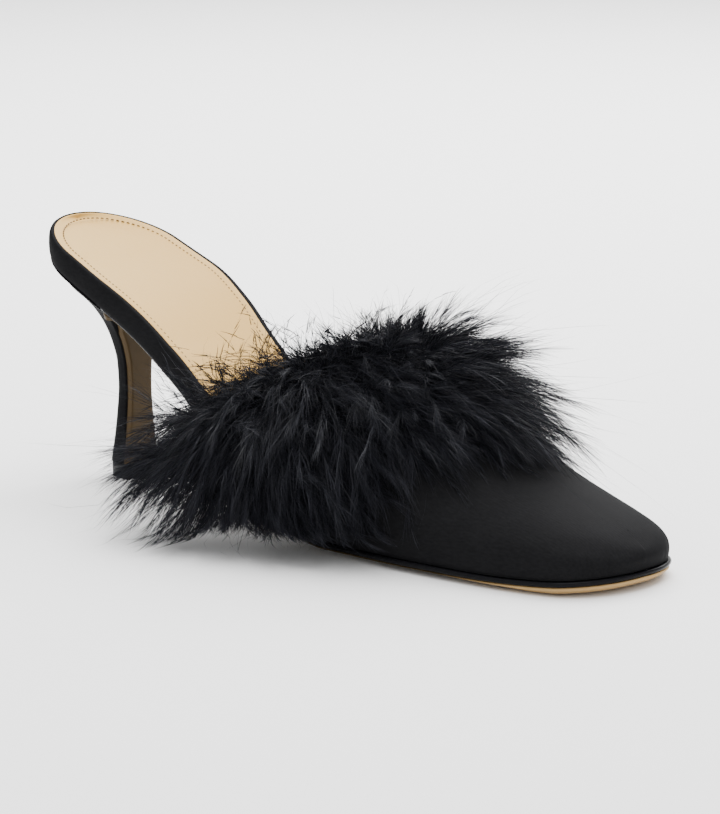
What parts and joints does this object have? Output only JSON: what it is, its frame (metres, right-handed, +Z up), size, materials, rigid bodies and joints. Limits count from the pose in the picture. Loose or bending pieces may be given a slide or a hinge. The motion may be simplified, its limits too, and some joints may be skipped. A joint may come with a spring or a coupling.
{
  "type": "marabou slipper",
  "caption": "High-heeled mule for the right foot with a satin vamp, a deep feather trim round the throat and a slim curved heel.",
  "frame": {"origin": "centre of the heel tip's face on the floor", "axes": "+X level towards the toe, +Y to the inner (medial) side of the foot, +Z up"},
  "size_m": [0.2483, 0.1276, 0.0842],
  "materials": {
    "tan_leather": "smooth, semi-matt",
    "black_edge": "polished edge",
    "satin": "satin, soft grey sheen",
    "sock_leather": "matt, fine grain",
    "tip_plastic": "matt",
    "feathers": "soft, matt, slightly blue"
  },
  "bodies": {
    "root": {"outsole": "tan_leather", "rand": "black_edge", "insole_board": "satin", "insole_sock": "sock_leather", "heel": "satin", "top_piece": "tip_plastic", "upper": "satin", "marabou_trim": "feathers"}
  },
  "joints": []
}
